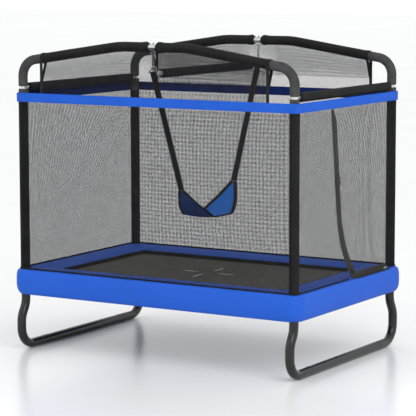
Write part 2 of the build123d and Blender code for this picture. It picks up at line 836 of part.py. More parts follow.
def strap(e):
    """Webbing from a loop round the strap ring's bar down to the seat's tip."""
    bar = Vector(0, e * post_y, swing_axis_z - strap_ring_drop)
    tip = Vector(0, e * seat_tip_y, seat_tip_z)
    run = (tip - bar).normalized()
    inner = strap_ring_wire / 2 + chain_play
    outer = inner + strap_thick
    half = strap_width / 2
    loop = straight((-half, bar.Y, bar.Z), (half, bar.Y, bar.Z), 2 * outer)
    start = bar + run * inner
    flat = Plane(origin=start, x_dir=(1, 0, 0), z_dir=run) * Rectangle(strap_width, strap_thick)
    body = loop + extrude(flat, (tip - start).length - strap_seam_gap)
    return body - straight((-half, bar.Y, bar.Z), (half, bar.Y, bar.Z), 2 * inner)


def seat_profile(thick):
    """The sling's section in the YZ plane, its outer face on the seat's line."""
    flat_z = seat_low + seat_rise
    right = [(seat_flat_y, flat_z), (seat_tip_y, seat_tip_z)]
    points = [(-y, z) for y, z in reversed(right)] + right
    line = FilletPolyline(*points, radius=seat_bend)
    upper = FilletPolyline(*[(y, z + thick) for y, z in points], radius=seat_bend)
    return make_face([*line.edges(), Line(line @ 1, upper @ 1), *upper.edges(), Line(upper @ 0, line @ 0)])


def seat_outline(shrink):
    """The seat seen from above, its long edges moved in by shrink."""
    w, m, n = seat_half - shrink, seat_mid_half - shrink, max(1.0, seat_tip_half - shrink)
    y, half_y, t = seat_flat_y, seat_mid_y, seat_tip_y
    back = [(w, y), (m, half_y), (n, t), (-n, t), (-m, half_y), (-w, y)]
    front = [(-x, -y) for x, y in back]
    return make_face(Polyline(*back, *front, close=True))


def sling(thick):
    section = Plane(origin=(-seat_half, 0, 0), x_dir=(0, 1, 0), z_dir=(1, 0, 0)) * seat_profile(thick)
    return extrude(section, 2 * seat_half)


def column(face):
    return extrude(face, 2 * seat_tip_z)


def seat():
    return sling(seat_thick) & column(seat_outline(seat_tape))


def seat_edge_tapes():
    ring = sling(seat_tape_thick) & column(seat_outline(0.0))
    return ring - column(seat_outline(seat_tape))


# ---- nodes ----
for side, s in sides.items():
    for end, e in ends.items():
        write(f"leg_bend_{side}_{end}", leg_bend(s, e))
    write(f"foot_tube_{side}", foot_tube(s))
    write(f"frame_rail_{side}", frame_rail(False, s))
    write(f"cross_bar_foam_{side}", cross_foam(s))
frame_screws = foot_screws() + rail_screws() + [clamp_bolt(s, e) for s, e in corners]
write("frame_screws", frame_screws)
write("frame_corners", [frame_corner(s, e) for s, e in corners])
write("post_bushes", [post_bush(s, e) for s, e in corners])
write("posts", [post(s, e) for s, e in corners])
write("post_foams", [post_foam(s, e) for s, e in corners])
write("pole_pockets", [pole_pocket(s, e) for s, e in corners])
write("cross_bars", [cross_bar(s) for s in sides.values()])
write("bar_clamps", [bar_clamp(s, e) for s, e in corners])
write("arch_elbows", [on_arch(arch_elbow(), s, e) for s, e in corners])
write("crown_foams", [on_arch(crown_foam(), s, e) for s, e in corners])
write("elbow_foams", [on_arch(elbow_foam(), s, e) for s, e in corners])
for end, e in ends.items():
    write(f"arch_crown_{end}", arch_crown(e))
    write(f"arch_sleeves_{end}", [on_arch(arch_sleeve(), s, e) for s in sides.values()])
    write(f"frame_rail_{end}", frame_rail(True, e))
    write(f"upper_net_{end}", upper_net(e))
    write(f"net_{end}", net_long(e))
    write(f"swing_strap_{end}", strap(e))
write("net_left", net_short(-1))
write("net_right", net_right())
write("zipper_tape_net", zipper_tape_net())
write("zipper_tape_door", zipper_tape_door())
write("door_net", door_net())
write("zipper_clip", zipper_clip())
upper_start, upper_run = upper_slider_run()
write("zipper_slider_upper", slider(zip_frame(upper_start.X, upper_start.Y, upper_run.X, upper_run.Y)))
write("zipper_slider_lower", slider(zip_frame(zip_end_y - slider_long, zip_z, -1, 0)))
write("top_band", top_band())
write("pad_cover", pad_cover())
write("mat", mat())
write("mat_edge_tape", mat_edge_tape())
rings = in_rows(mat_ring(), mat_ring())
write("mat_rings", [ring for row in rings.values() for ring in row])
for name, row in in_rows(spring(), spring()).items():
    write(f"springs_{name}", row)
write("eye_bolts", [eye_bolt(e) for e in ends.values()])
write("chains", [Pos(0, e * post_y, 0) * link for e in ends.values() for link in chain()])
shackles = [shackle(hanger_axis_z, -1, e) for e in ends.values()]
shackles += [shackle(swing_axis_z, 1, e) for e in ends.values()]
write("shackles", shackles)
pins = [pin(hanger_axis_z, e, shackle_half) for e in ends.values()]
pins += [pin(swing_axis_z, e, plate_y + plate_thick) for e in ends.values()]
write("shackle_pins", pins)
write("gym_bar", gym_bar())
write("gym_bar_foam", gym_foam())
write("strap_rings", [strap_ring(e) for e in ends.values()])
write("seat", seat())
write("seat_edge_tapes", seat_edge_tapes())
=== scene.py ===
import bmesh
import bpy
import math
import numpy as np
from mathutils import Matrix, Vector, noise


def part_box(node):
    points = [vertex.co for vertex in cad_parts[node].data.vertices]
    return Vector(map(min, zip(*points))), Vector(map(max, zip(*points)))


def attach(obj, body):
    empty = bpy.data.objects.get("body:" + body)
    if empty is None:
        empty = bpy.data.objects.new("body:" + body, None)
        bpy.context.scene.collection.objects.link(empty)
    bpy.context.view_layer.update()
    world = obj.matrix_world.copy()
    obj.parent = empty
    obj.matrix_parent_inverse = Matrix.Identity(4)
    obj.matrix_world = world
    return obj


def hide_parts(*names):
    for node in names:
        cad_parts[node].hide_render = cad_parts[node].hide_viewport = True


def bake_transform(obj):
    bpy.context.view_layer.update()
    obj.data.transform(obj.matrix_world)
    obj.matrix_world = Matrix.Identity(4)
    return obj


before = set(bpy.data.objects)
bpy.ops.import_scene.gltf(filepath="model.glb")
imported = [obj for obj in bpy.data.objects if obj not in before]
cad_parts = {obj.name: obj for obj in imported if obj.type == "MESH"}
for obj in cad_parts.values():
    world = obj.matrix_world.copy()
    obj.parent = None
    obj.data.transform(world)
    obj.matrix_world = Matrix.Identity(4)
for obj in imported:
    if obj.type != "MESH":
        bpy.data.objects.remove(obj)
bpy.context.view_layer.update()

# ---- view ----
# A long lens a little above the cover. It looks at the front long side and at the short side
# with the door.
eye = Vector((5.690, -9.369, 2.177))
yaw, pitch, roll = 0.5459, -0.1256, -0.0017
camera_data = bpy.data.cameras.new("camera")
camera_data.lens = 170.14
camera_data.sensor_width = 36.0
camera_data.clip_end = 200.0
camera = bpy.data.objects.new("camera", camera_data)
bpy.context.scene.collection.objects.link(camera)
turn = Matrix.Rotation(yaw, 4, "Z") @ Matrix.Rotation(math.pi / 2 + pitch, 4, "X")
camera.matrix_world = Matrix.Translation(eye) @ turn @ Matrix.Rotation(roll, 4, "Z")
bpy.context.scene.camera = camera
bpy.context.scene.view_settings.view_transform = "Standard"
bpy.context.scene.cycles.transparent_max_bounces = 48

# ---- studio ----
# A white sweep under a white sky, with one big soft lamp from the right and a weaker one from
# the left. The floor has a faint polish, so the feet show in it.
sky = bpy.data.worlds.new("white sky")
sky.use_nodes = True
sky.node_tree.nodes["Background"].inputs["Color"].default_value = (1.0, 1.0, 1.0, 1.0)
sky.node_tree.nodes["Background"].inputs["Strength"].default_value = 1.02
bpy.context.scene.world = sky
lamps = [
    ("right lamp", (4.5, -3.0, 4.2), 3.0, 110.0),
    ("left lamp", (-4.0, -5.0, 3.0), 3.0, 25.0),
]
for name, place, size, power in lamps:
    lamp_data = bpy.data.lights.new(name, "AREA")
    lamp_data.size = size
    lamp_data.energy = power
    lamp = bpy.data.objects.new(name, lamp_data)
    lamp.location = place
    lamp.rotation_euler = (Vector((0, 0, 0.8)) - Vector(place)).to_track_quat("-Z", "Y").to_euler()
    bpy.context.scene.collection.objects.link(lamp)


def material(name, rough, metal=0.0, shine=0.5):
    """A new material with its plain values set on the shader itself."""
    made = bpy.data.materials.new(name)
    made.use_nodes = True
    shader = made.node_tree.nodes["Principled BSDF"]
    shader.inputs["Roughness"].default_value = rough
    shader.inputs["Metallic"].default_value = metal
    shader.inputs["Specular IOR Level"].default_value = shine
    return made, made.node_tree, shader


def node(tree, kind, links=(), **values):
    """A node with its inputs linked or set by name or number."""
    made = tree.nodes.new(kind)
    for key, value in values.items():
        setattr(made, key, value)
    for key, value in dict(links).items():
        if isinstance(value, bpy.types.NodeSocket):
            tree.links.new(value, made.inputs[key])
        else:
            made.inputs[key].default_value = value
    return made


def drift(tree, shader, dark, light, size):
    """Colour that drifts slowly between two shades over a surface; size in metres."""
    place = node(tree, "ShaderNodeTexCoord").outputs["Object"]
    cloud = node(tree, "ShaderNodeTexNoise", {"Vector": place, "Scale": 1 / size, "Detail": 3.0})
    ramp = node(tree, "ShaderNodeValToRGB", {"Fac": cloud.outputs["Fac"]})
    ramp.color_ramp.elements[0].position = 0.3
    ramp.color_ramp.elements[1].position = 0.7
    ramp.color_ramp.elements[0].color = (*dark, 1.0)
    ramp.color_ramp.elements[1].color = (*light, 1.0)
    tree.links.new(ramp.outputs["Color"], shader.inputs["Base Color"])
    return place


floor_paint, tree, shader = material("white floor", 0.22, shine=0.35)
drift(tree, shader, (0.88, 0.885, 0.89), (0.9, 0.905, 0.91), 1.5)
floor_half = 60.0
floor_mesh = bpy.data.meshes.new("floor")
floor_corners = [(-floor_half, -floor_half, 0), (floor_half, -floor_half, 0)]
floor_corners += [(floor_half, floor_half, 0), (-floor_half, floor_half, 0)]
floor_mesh.from_pydata(floor_corners, [], [(0, 1, 2, 3)])
floor_mesh.materials.append(floor_paint)
floor = bpy.data.objects.new("floor", floor_mesh)
bpy.context.scene.collection.objects.link(floor)

# ---- legs ----
# Two sled feet: a straight tube between two bends that slide into it and rise to the frame.
# Steel tube with a dark grey gloss powder coat; each joint has a rolled rim and two screws.


def coat(name, dark, light, rough, metal=0.0, shine=0.5, grain=0.0012, depth=0.00004, patch=0.12):
    """A hard finish: drifting colour, a fine grain and patches that are a little duller."""
    made, tree, shader = material(name, rough, metal, shine)
    place = drift(tree, shader, dark, light, patch)
    dull = node(tree, "ShaderNodeTexNoise", {"Vector": place, "Scale": 40.0, "Detail": 4.0})
    span = {"Value": dull.outputs["Fac"], "To Min": rough * 0.75, "To Max": rough * 1.3}
    gloss = node(tree, "ShaderNodeMapRange", span).outputs["Result"]
    tree.links.new(gloss, shader.inputs["Roughness"])
    fine = node(tree, "ShaderNodeTexNoise", {"Vector": place, "Scale": 1 / grain, "Detail": 2.0})
    bump = node(tree, "ShaderNodeBump", {"Height": fine.outputs["Fac"], "Distance": depth})
    tree.links.new(bump.outputs["Normal"], shader.inputs["Normal"])
    return made


def dress(finish, *names):
    """Give CAD nodes a finish."""
    for name in names:
        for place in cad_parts[name].material_slots:
            place.material = finish


def grid(rows, close_rows=False, close_columns=False):
    """Points and faces of a sheet made of rows of points, all as long."""
    count = len(rows[0])
    faces = []
    for i in range(len(rows) - (not close_rows)):
        j = (i + 1) % len(rows)
        for k in range(count - (not close_columns)):
            m = (k + 1) % count
            faces.append((i * count + k, j * count + k, j * count + m, i * count + m))
    return [p for row in rows for p in row], faces


def capped(rows):
    """A closed tube of rows of points, with a face over each end."""
    points, faces = grid(rows, False, True)
    count = len(rows[0])
    return points, faces + [tuple(range(count)), tuple(range(len(points) - count, len(points)))]


def together(parts):
    """Several sets of points and faces as one."""
    points, faces = [], []
    for some_points, some_faces in parts:
        faces += [tuple(len(points) + i for i in face) for face in some_faces]
        points += some_points
    return points, faces


def piece(name, shape, finish, body, crease=50):
    """A mesh piece that rides on a body. Edges sharper than crease degrees stay sharp."""
    mesh = bpy.data.meshes.new(name)
    mesh.from_pydata([tuple(p) for p in shape[0]], [], shape[1])
    edit = bmesh.new()
    edit.from_mesh(mesh)
    bmesh.ops.recalc_face_normals(edit, faces=edit.faces)
    edit.to_mesh(mesh)
    edit.free()
    mesh.polygons.foreach_set("use_smooth", [True] * len(mesh.polygons))
    mesh.set_sharp_from_angle(angle=math.radians(crease))
    mesh.materials.append(finish)
    made = bpy.data.objects.new(name, mesh)
    bpy.context.scene.collection.objects.link(made)
    if body:
        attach(made, body)
    return made


def run_at(line, i, loop):
    """The direction of a line at one of its points."""
    if loop:
        return (line[(i + 1) % len(line)] - line[i - 1]).normalized()
    return (line[min(i + 1, len(line) - 1)] - line[max(i - 1, 0)]).normalized()


def skin(line, radius_at, sides=20, loop=False):
    """A round skin along a line; radius_at takes the distance along it and the angle round it."""
    line = [Vector(p) for p in line]
    side = run_at(line, 0, loop).orthogonal()
    along, rows = 0.0, []
    for i, p in enumerate(line):
        run = run_at(line, i, loop)
        side = (side - run * side.dot(run)).normalized()
        other = run.cross(side)
        along += (p - line[i - 1]).length if i else 0.0
        row = []
        for k in range(sides):
            a = 2 * math.pi * k / sides
            row.append(p + (side * math.cos(a) + other * math.sin(a)) * radius_at(along, a))
        rows.append(row)
    return grid(rows, True, True) if loop else capped(rows)


def circle(centre, radius, steps=40):
    """Points round a circle that lies across the Y axis."""
    turns = [2 * math.pi * i / steps for i in range(steps)]
    return [Vector(centre) + Vector((radius * math.cos(a), 0, radius * math.sin(a))) for a in turns]


leg_paint = coat("grey powder coat", (0.010, 0.010, 0.011), (0.016, 0.016, 0.017), 0.2, shine=0.38)
leg_nodes = [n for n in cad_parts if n.startswith(("leg_bend", "foot_tube"))]
dress(leg_paint, *leg_nodes)
foot_low, foot_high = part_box("foot_tube_right")
foot_radius = foot_high.z / 2
foot_x = (foot_low.x + foot_high.x) / 2
rims = []
for s in (-1, 1):
    for y in (foot_low.y, foot_high.y):
        rim = circle((s * foot_x, y, foot_radius), foot_radius - 0.0002)
        rims.append(skin(rim, lambda d, a: 0.0011, 8, True))
piece("foot_joint_rims", together(rims), leg_paint, "frame")

# ---- frame round the mat ----
# Four rails and four welded corners of galvanised tube, screwed from below. They hold the legs
# below, the posts above in plastic reducers, and the springs on the inside.
zinc = coat("galvanised steel", (0.5, 0.51, 0.52), (0.66, 0.67, 0.68), 0.34, 1.0, patch=0.03)
bright = coat("bright plated steel", (0.62, 0.62, 0.62), (0.75, 0.75, 0.74), 0.2, 1.0, patch=0.02)
moulded = coat("black moulded plastic", (0.018, 0.018, 0.019), (0.03, 0.03, 0.031), 0.45)
dress(zinc, *[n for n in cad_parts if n.startswith("frame_rail")], "frame_corners", "posts")
dress(bright, "frame_screws")
dress(moulded, "post_bushes")

# ---- springs ----
# Rows of wound wire springs with a hook at each end, from the mat's rings to holes in the
# rails. They stretch when the mat goes down.
post_x, post_y = 0.860, 0.563
spring_z, rail_z, mat_z = 0.429, 0.421, 0.425
coil_wire, coil_radius, coil_length, coil_turns = 0.0015, 0.0055, 0.070, 15
spring_room = 0.125  # from the rail to the mat's edge


def spring_places(half):
    """Places of a row's springs along its side."""
    reach = half - 0.175
    count = max(2, round(2 * reach / 0.120) + 1)
    return [-reach + 2 * reach * i / (count - 1) for i in range(count)]


def wound_spring(mat_edge, rail):
    """A spring along +Y from the mat's ring to the rail."""
    ring, hole = mat_edge + 0.009, rail - 0.004
    start = (mat_edge + 0.018 + rail - 0.019 - coil_length) / 2
    line = [(0, ring, mat_z - 0.004), (0, ring, spring_z - 0.001), (0, ring + 0.002, spring_z)]
    steps = coil_turns * 9
    for i in range(steps + 1):
        a = 2 * math.pi * coil_turns * i / steps
        y = start + coil_length * i / steps
        line.append((coil_radius * math.sin(a), y, spring_z + coil_radius * math.cos(a)))
    line += [(0, hole - 0.002, spring_z), (0, hole, spring_z - 0.001), (0, hole, rail_z)]
    return skin(line, lambda d, a: coil_wire, 5)


def moved(shape, matrix):
    """A shape's points moved by a matrix."""
    return [matrix @ Vector(p) for p in shape[0]], shape[1]


spring_rows = [("front", 180, post_x), ("back", 0, post_x), ("left", 90, post_y)]
spring_rows.append(("right", -90, post_y))
for name, degrees, half in spring_rows:
    across = post_y if half == post_x else post_x
    one = wound_spring(across - spring_room, across)
    face = Matrix.Rotation(math.radians(degrees), 4, "Z")
    row = [moved(one, face @ Matrix.Translation((p, 0, 0))) for p in spring_places(half)]
    row = piece(f"wound_springs_{name}", together(row), bright, None)
    out = face @ Vector((0, 1, 0))
    lift = Vector((0, 0, spring_z))
    start, end = out * (across - 0.02) + lift, out * (across - spring_room) + lift
    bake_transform(row)
    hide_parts(f"springs_{name}")

# ---- jumping mat ----
# Black woven polypropylene with a folded edge. A webbing tape is sewn under the edge and holds
# the wire rings. Four pale stitched dashes in the middle make a cross.


def maths(tree, operation, first, second=None, kind="ShaderNodeVectorMath"):
    """One step of arithmetic in a finish, on three numbers at once unless kind says otherwise."""
    links = {0: first} if second is None else {0: first, 1: second}
    return node(tree, kind, links, operation=operation).outputs[0]


def cloth(name, dark, light, thread, depth, rough=0.8, shine=0.1, patch=0.2):
    """A woven finish: threads that cross at a pitch of thread metres, and drifting colour."""
    made, tree, shader = material(name, rough, shine=shine)
    place = drift(tree, shader, dark, light, patch)
    wide = maths(tree, "MULTIPLY", place, Vector((1, 1, 1)) * (math.pi / thread))
    high = maths(tree, "ABSOLUTE", maths(tree, "SINE", wide))
    total = node(tree, "ShaderNodeVectorMath", {0: high, 1: (1, 1, 1)}, operation="DOT_PRODUCT")
    bump = node(tree, "ShaderNodeBump", {"Height": total.outputs["Value"], "Distance": depth})
    tree.links.new(bump.outputs["Normal"], shader.inputs["Normal"])
    return made


def outline(half_x, half_y, corner, steps=8, runs=30):
    """Points round a rectangle with round corners. Every outline has as many points."""
    points = []
    for k, (sx, sy) in enumerate([(1, -1), (1, 1), (-1, 1), (-1, -1)]):
        centre = Vector((sx * (half_x - corner), sy * (half_y - corner)))
        for i in range(steps + 1):
            a = math.radians(90 * (k - 1) + 90 * i / steps)
            points.append(centre + Vector((math.cos(a), math.sin(a))) * corner)
        nx, ny = [(1, 1), (-1, 1), (-1, -1), (1, -1)][k]
        nearest = Vector((nx * (half_x - corner), ny * (half_y - corner)))
        a = math.radians(90 * k)
        goal = nearest + Vector((math.cos(a), math.sin(a))) * corner
        last = points[-1]
        points += [last.lerp(goal, i / runs) for i in range(1, runs)]
    return points


mat_weave = cloth(
    "black mat weave", (0.140, 0.138, 0.130), (0.160, 0.158, 0.150), 0.0022, 0.0004, 0.9, 0.05
)
mat_half_x, mat_half_y = post_x - spring_room, post_y - spring_room
mat_top, mat_low = mat_z + 0.0015, mat_z - 0.0015
mat_levels = [(0.7, mat_low), (0.3, mat_low), (0.044, mat_low), (0.001, mat_low), (0.0, mat_z)]
mat_levels += [(0.001, mat_top), (0.030, mat_top), (0.032, mat_top - 0.0008)]
mat_levels += [(0.3, mat_top - 0.0008), (0.7, mat_top - 0.0008)]
rows = []
for inset, z in mat_levels:
    if inset < 0.1:
        ring = outline(mat_half_x - inset, mat_half_y - inset, 0.030)
    else:
        ring = outline(mat_half_x - inset * mat_half_y, mat_half_y * (1 - inset), 0.030)
    rows.append([(p.x, p.y, z) for p in ring])
mat_cloth = piece("mat_cloth", capped(rows), mat_weave, "mat")
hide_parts("mat")

webbing = cloth("black webbing", (0.014, 0.014, 0.015), (0.024, 0.024, 0.025), 0.0016, 0.0003, 0.7)
dress(webbing, "mat_edge_tape")
dress(bright, "mat_rings")


def ribbon(line, across, width, thick, loop=False):
    """A flat band along a line. across is the direction of its width, or a function of the point's
    number; width is a number or such a function."""
    line = [Vector(p) for p in line]
    t, c = thick / 2, thick * 0.3
    rows = []
    for i, p in enumerate(line):
        run = run_at(line, i, loop)
        wide = Vector(across(i) if callable(across) else across)
        wide = (wide - run * wide.dot(run)).normalized()
        out = run.cross(wide)
        w = (width(i) if callable(width) else width) / 2
        section = [(w - c, -t), (w, c - t), (w, t - c), (w - c, t)]
        section += [(-a, -b) for a, b in section]
        rows.append([p + wide * a + out * b for a, b in section])
    return grid(rows, True, True) if loop else capped(rows)


def spaced(line, step, loop=False):
    """The line again, with points step apart."""
    line = np.array([tuple(p) for p in line] + ([tuple(line[0])] if loop else []))
    along = np.concatenate([[0], np.cumsum(np.linalg.norm(np.diff(line, axis=0), axis=1))])
    count = max(2, round(along[-1] / step) + 1)
    at = np.linspace(0, along[-1], count)
    points = [Vector(np.array([np.interp(t, along, line[:, k]) for k in range(3)])) for t in at]
    return points[:-1] if loop else points


def stitches(line, outward, pitch=0.006, loop=False):
    """Short raised stitches along a line; outward is a direction or a function of place."""
    line = spaced(line, pitch, loop)
    made = []
    for i, p in enumerate(line):
        run = run_at(line, i, loop)
        up = Vector(outward(p) if callable(outward) else outward).normalized()
        side = run.cross(up).normalized() * 0.0005
        tip, rise = run * (pitch * 0.34), up * 0.0005
        points = [p - tip, p - tip * 0.7 + side, p + tip * 0.7 + side, p + tip]
        points += [p + tip * 0.7 - side, p - tip * 0.7 - side]
        points += [p - tip * 0.6 + rise, p + tip * 0.6 + rise]
        faces = [(0, 1, 6), (1, 2, 7, 6), (2, 3, 7), (3, 4, 7), (4, 5, 6, 7), (5, 0, 6)]
        made.append((points, faces + [(0, 5, 4, 3, 2, 1)]))
    return together(made)


pale_thread = cloth("pale thread", (0.72, 0.72, 0.71), (0.8, 0.8, 0.79), 0.0012, 0.0003)
dash_long, dash_wide, dash_start = 0.090, 0.011, 0.072
dashes = []
for run in ((1, 0, 0), (-1, 0, 0), (0, 1, 0), (0, -1, 0)):
    across = (abs(run[1]), abs(run[0]), 0)
    lift = Vector((0, 0, mat_top - 0.0004))
    line = [Vector(run) * (dash_start + dash_long * i / 8) + lift for i in range(9)]
    dashes.append(ribbon(line, across, dash_wide, 0.0012))
piece("mat_dashes", together(dashes), pale_thread, "mat")
grey_thread = cloth("grey thread", (0.09, 0.09, 0.09), (0.13, 0.13, 0.13), 0.0012, 0.0002)
seams = []
for inset in (0.006, 0.026):
    ring = outline(mat_half_x - inset, mat_half_y - inset, 0.028)
    seams.append(stitches([(p.x, p.y, mat_top) for p in ring], (0, 0, 1), 0.008, True))
piece("mat_edge_stitches", together(seams), grey_thread, "mat")

# ---- padded cover ----
# A blue coated cloth cover over soft foam. It lies on the rails and springs, its skirt hangs
# over the frame, and a black tape binds the edge of its opening.
pad_half_x, pad_half_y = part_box("pad_cover")[1].x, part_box("pad_cover")[1].y
opening_x, opening_y = 0.708, 0.415
pad_corner, opening_corner = 0.075, 0.012
pad_reach = pad_half_x - opening_x
vinyl = cloth(
    "blue coated cloth", (0.012, 0.098, 0.56), (0.015, 0.110, 0.62), 0.0018, 0.00012, 0.55, 0.2, 0.5
)
# the cover's section in mm: the distance in from its outer edge, and the height
pad_profile = [(207, 431), (208, 437), (207, 443), (203, 446), (194, 448.5), (176, 453)]
pad_profile += [(150, 458), (120, 460.5), (90, 461), (60, 460), (40, 458.5), (28, 457.5)]
shoulder = [math.radians(90 + 18 * i) for i in range(6)]
pad_profile += [(18 + 18 * math.cos(a), 439 + 18 * math.sin(a)) for a in shoulder]
pad_profile += [(-2, 428), (-3.5, 412), (-4, 395), (-4, 378), (-3, 362), (-1, 348), (2, 336)]
pad_profile += [(7, 325.5), (12.5, 319), (17, 317), (21, 319.5), (20, 327), (16, 345)]
pad_profile += [(13, 370), (12, 400), (13, 425), (17, 437), (30, 441), (80, 442)]
pad_profile += [(140, 442), (172, 440), (190, 433.5), (200, 430)]


def pad_ring(inset, z):
    """The points of one line round the cover, inset from its outer edge."""
    share = inset / pad_reach
    half_y = pad_half_y - share * (pad_half_y - opening_y)
    corner = max(opening_corner, pad_corner - share * (pad_corner - opening_corner))
    return [Vector((p.x, p.y, z)) for p in outline(pad_half_x - inset, half_y, corner, 12, 60)]


def softness(p, size, seed):
    """Smooth noise between -1 and 1 over a few centimetres, the same every time."""
    return noise.noise(Vector(p) / size + Vector((seed, 2.3 * seed, 0.7 * seed)))


rows = []
for d, z in pad_profile:
    row = []
    for p in pad_ring(d / 1000, z / 1000):
        on_skirt = max(0.0, 1 - d / 60)
        away = Vector((p.x * 0.6, p.y, 0)).normalized() * on_skirt + Vector((0, 0, 1 - on_skirt))
        swell = 0.0022 * softness(p, 0.16, 3) + 0.0010 * softness(p, 0.05, 5)
        row.append(p + away * swell * (0.3 if z < 320 else 1.0))
    rows.append(row)
pad = piece("padded_cover", grid(rows, True, True), vinyl, "frame", 75)
post_holes = []
corners = [(sx, sy) for sx in (-1, 1) for sy in (-1, 1)]
for sx, sy in corners:
    line = [(sx * post_x, sy * post_y, 0.43), (sx * post_x, sy * post_y, 0.48)]
    post_holes.append(skin(line, lambda d, a: 0.0275, 40))
holes = piece("post_holes", together(post_holes), vinyl, "frame")
cut = pad.modifiers.new("post holes", "BOOLEAN")
cut.operation = "DIFFERENCE"
cut.object = holes
flat_pad = bpy.data.meshes.new_from_object(pad.evaluated_get(bpy.context.evaluated_depsgraph_get()))
pad.modifiers.clear()
pad.data = flat_pad
bpy.data.objects.remove(holes)
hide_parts("pad_cover")

binding_line = pad_ring(pad_reach - 0.0050, 0.4466)


def across_binding(i):
    """Away from the middle of the opening at one of the binding's points."""
    return binding_line[i].x * 0.58, binding_line[i].y, 0


binding = [ribbon(binding_line, across_binding, 0.012, 0.0014, True)]
edge_line = pad_ring(pad_reach + 0.0012, 0.4385)
binding.append(ribbon(edge_line, (0, 0, 1), 0.0175, 0.0014, True))
piece("cover_binding", together(binding), webbing, "frame")

# ---- posts ----
# Four galvanised posts in grey foam tubes. The net's corner pockets, black woven polyester
# with a seam and two hems, slide over the foam from the cover up to the band.


def foam(name, dark, light, rough=0.85):
    """Foam with a raised pebbled grain."""
    made, tree, shader = material(name, rough, shine=0.1)
    place = drift(tree, shader, dark, light, 0.05)
    cells = node(tree, "ShaderNodeTexVoronoi", {"Vector": place, "Scale": 420.0})
    bump = node(tree, "ShaderNodeBump", {"Height": cells.outputs["Distance"], "Distance": 0.0006})
    tree.links.new(bump.outputs["Normal"], shader.inputs["Normal"])
    return made


grey_foam = foam("grey foam", (0.045, 0.045, 0.046), (0.068, 0.068, 0.07))
black_cloth = cloth(
    "black polyester", (0.009, 0.009, 0.009), (0.015, 0.015, 0.015), 0.0014, 0.0002, 0.7, 0.15
)
foam_low, foam_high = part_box("post_foams")
foam_radius = 0.026


def rounded_end(d, length, radius, soft=0.004):
    """A radius that draws in near both ends of a length."""
    near = min(d, length - d)
    return radius - (soft - near) ** 2 / soft * 0.8 if near < soft else radius


def length(line, loop=False):
    """The length of a line."""
    ends = line[1:] + line[:1] if loop else line[1:]
    return sum((b - a).length for a, b in zip(line, ends))


post_foams, pockets = [], []
pocket_low, pocket_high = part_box("pole_pockets")
pocket_long = pocket_high.z - pocket_low.z
for sx, sy in corners:
    x, y = sx * post_x, sy * post_y
    tall = foam_high.z - foam_low.z
    line = [Vector((x, y, foam_low.z + t * tall)) for t in (0, 0.002, 0.004, 0.5, 0.996, 0.998, 1)]
    post_foams.append(skin(line, lambda d, a: rounded_end(d, tall, foam_radius), 32))

    def pocket_radius(d, a, x=x, y=y):
        """Cloth over foam: shallow folds, a seam and a hem at each end."""
        fold = 0.0004 * softness((x * 9 + math.cos(a), y * 9 + math.sin(a), d * 2.2), 0.5, 1)
        hem = 0.0004 if min(d, pocket_long - d) < 0.022 else 0.0
        seam = 0.0005 * math.exp(-(((a - 2.4) / 0.10) ** 2))
        return 0.0268 + fold + hem + seam

    line = spaced([(x, y, pocket_low.z), (x, y, pocket_high.z)], 0.011)
    pockets.append(skin(line, pocket_radius, 48))
post_foam = piece("post_foam_tubes", together(post_foams), grey_foam, "frame")
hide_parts("post_foams")
pocket = piece("net_pole_pockets", together(pockets), black_cloth, "frame")
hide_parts("pole_pockets")

# ---- cross bars ----
# A thin steel bar in a thick foam sleeve over each short side. Steel ring clamps hold it on
# the posts, each drawn tight by a bolt.
dress(zinc, "cross_bars")
dress(bright, "bar_clamps")
bar_z = (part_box("bar_clamps")[0].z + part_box("bar_clamps")[1].z) / 2
black_foam = foam("black foam", (0.012, 0.012, 0.013), (0.02, 0.02, 0.021))


def foam_roll(half, height, radius, seed):
    """A straight foam tube along Y, a little dented, with soft ends."""
    line = [Vector((0, -half + t, height)) for t in (0, 0.001, 0.002, 0.004, 0.008)]
    line += [Vector((0, -half + 0.008 + i * (2 * half - 0.016) / 60, height)) for i in range(1, 60)]
    line += [Vector((0, half - t, height)) for t in (0.008, 0.004, 0.002, 0.001, 0)]

    def radius_at(d, a):
        dent = 0.0006 * softness((math.cos(a), math.sin(a), d * 6), 0.6, seed)
        return rounded_end(d, 2 * half, radius + dent, 0.008)

    return skin(line, radius_at, 40)


for side, s in (("left", -1), ("right", 1)):
    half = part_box(f"cross_bar_foam_{side}")[1].y
    roll = moved(foam_roll(half, bar_z, 0.025, 4 + s), Matrix.Translation((s * post_x, 0, 0)))
    roll = piece(f"cross_bar_roll_{side}", roll, black_foam, "frame")
    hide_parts(f"cross_bar_foam_{side}")

# ---- arches ----
# Each arch is a crown tube between two bent elbows that plug into the posts. Grey foam covers
# the elbows. Black sleeves cover the foam of the crown and are gathered at both ends, and the
# bare tube shows between them in the middle.
crown_z, crown_half, slope = 1.715, 0.220, math.tan(math.radians(8.5))
elbow_radius, crown_radius = 0.095, 0.600
shoulder_z = crown_z - (post_x - crown_half) * slope
sleeve_end, sleeve_gap, foam_gap = 0.722, 0.026, 0.034
dress(zinc, "arch_elbows", "arch_crown_front", "arch_crown_back")


def arch_z(x):
    """Height of the arch's centre line, without its rounded bends."""
    return crown_z - max(0.0, abs(x) - crown_half) * slope


def bent(points, radii, step=0.01):
    """A line through points whose inner corners are rounded to the radii."""
    points = [Vector(p) for p in points]
    line = [points[0]]
    for a, b, c, radius in zip(points, points[1:], points[2:], radii):
        u, v = (a - b).normalized(), (c - b).normalized()
        half = u.angle(v) / 2
        centre = b + (u + v).normalized() * (radius / math.sin(half))
        start = b + u * (radius / math.tan(half)) - centre
        end = b + v * (radius / math.tan(half)) - centre
        count = max(4, round(radius * (math.pi - 2 * half) / step))
        start, end = start.normalized(), end.normalized()
        line += [centre + start.slerp(end, i / count) * radius for i in range(count + 1)]
    return line + [points[-1]]


